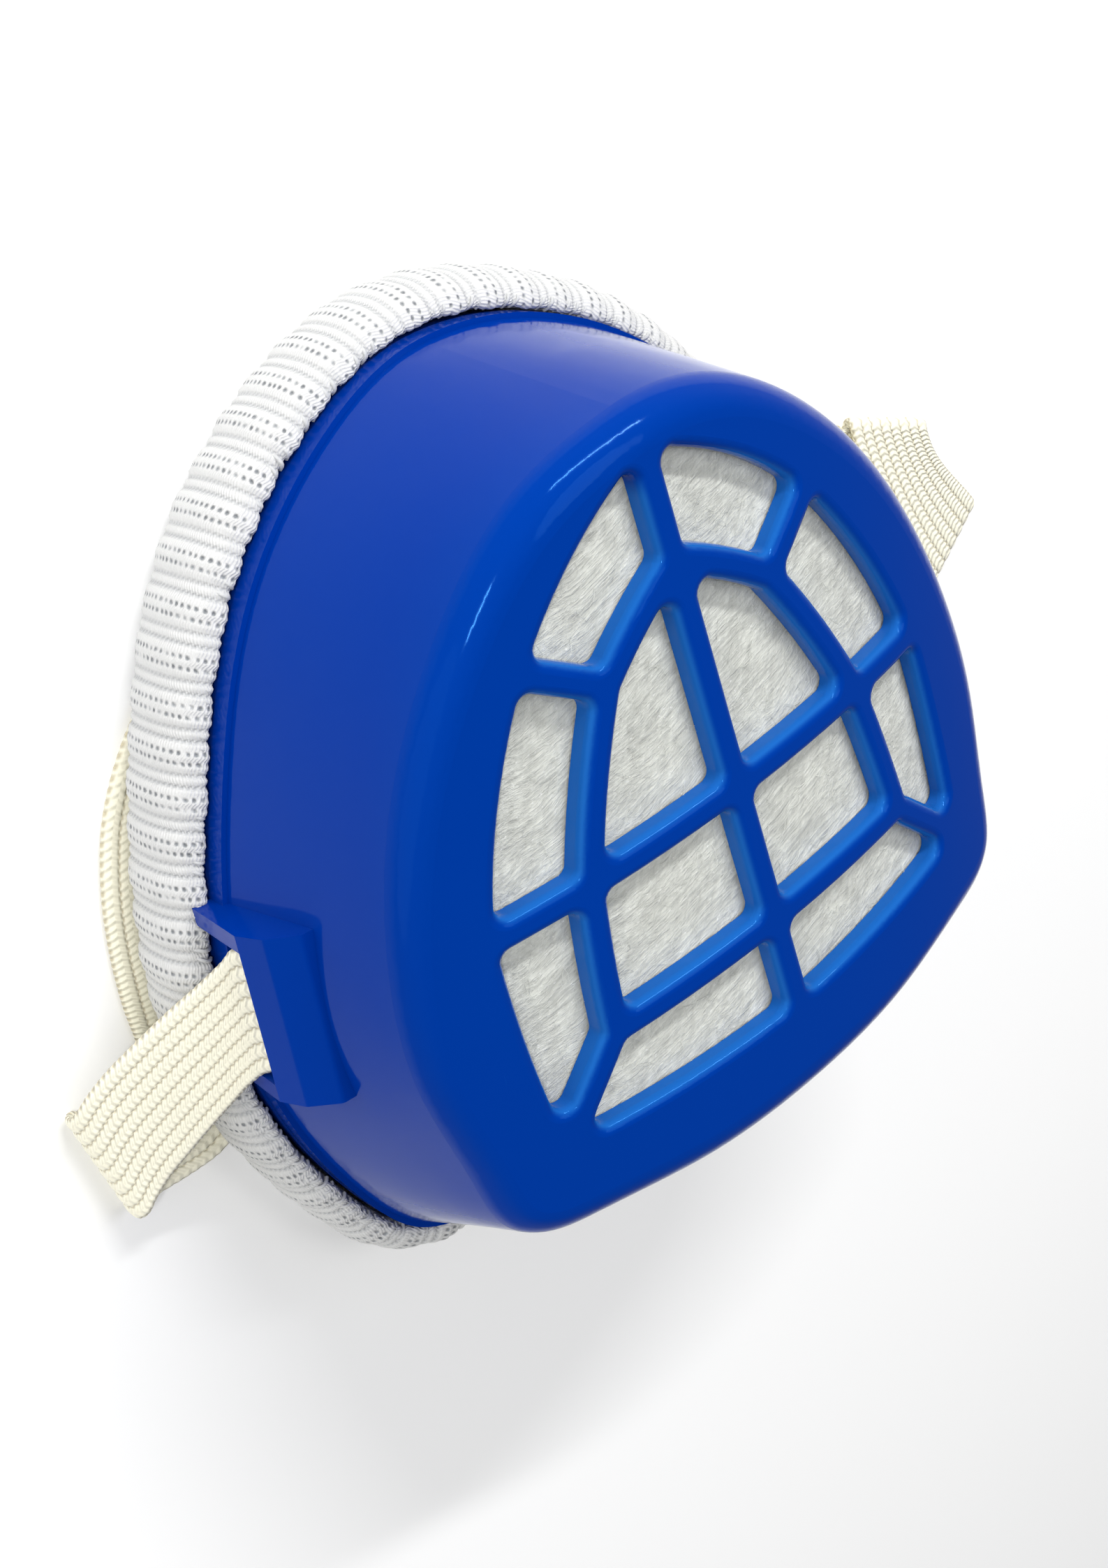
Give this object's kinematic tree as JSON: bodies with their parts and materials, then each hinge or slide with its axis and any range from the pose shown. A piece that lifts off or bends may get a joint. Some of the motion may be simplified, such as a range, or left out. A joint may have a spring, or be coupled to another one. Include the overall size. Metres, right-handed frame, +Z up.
{
  "type": "half-mask respirator",
  "caption": "Half-mask dust respirator with a D-shaped grille shell, felt filter pack, rib-knit face seal and elastic head strap, lying face up.",
  "frame": {"origin": "centre of the face opening, in the plane of the table that the knit seal lies on", "axes": "+Z up out of the table and out through the grille, +Y towards the nose end, +X towards the wearer's left"},
  "size_m": [0.1846, 0.1277, 0.055],
  "materials": {
    "shell": "gloss",
    "felt": "matte",
    "fine_felt": "matte",
    "support": "matte",
    "retainer": "satin",
    "knit": "matte",
    "cushion": "matte",
    "elastic": "matte",
    "strap": "matte"
  },
  "bodies": {
    "mask": {"shell": "shell", "knit_seal": "knit", "cushion_ring": "cushion", "hem_elastic": "elastic", "strap_left_run": "strap", "strap_under_run": "strap", "strap_right_run": "strap", "strap_stop_left": "strap", "strap_stop_right": "strap"},
    "filter_pack": {"filter_retainer": "retainer", "fine_filter": "fine_felt", "filter_support": "support", "prefilter_felt": "felt"}
  },
  "joints": [
    {"name": "filter_pack_slide", "type": "slide", "parent": "mask", "child": "filter_pack", "axis": [0, 0, -1], "range_m": [0, 0.028]}
  ]
}
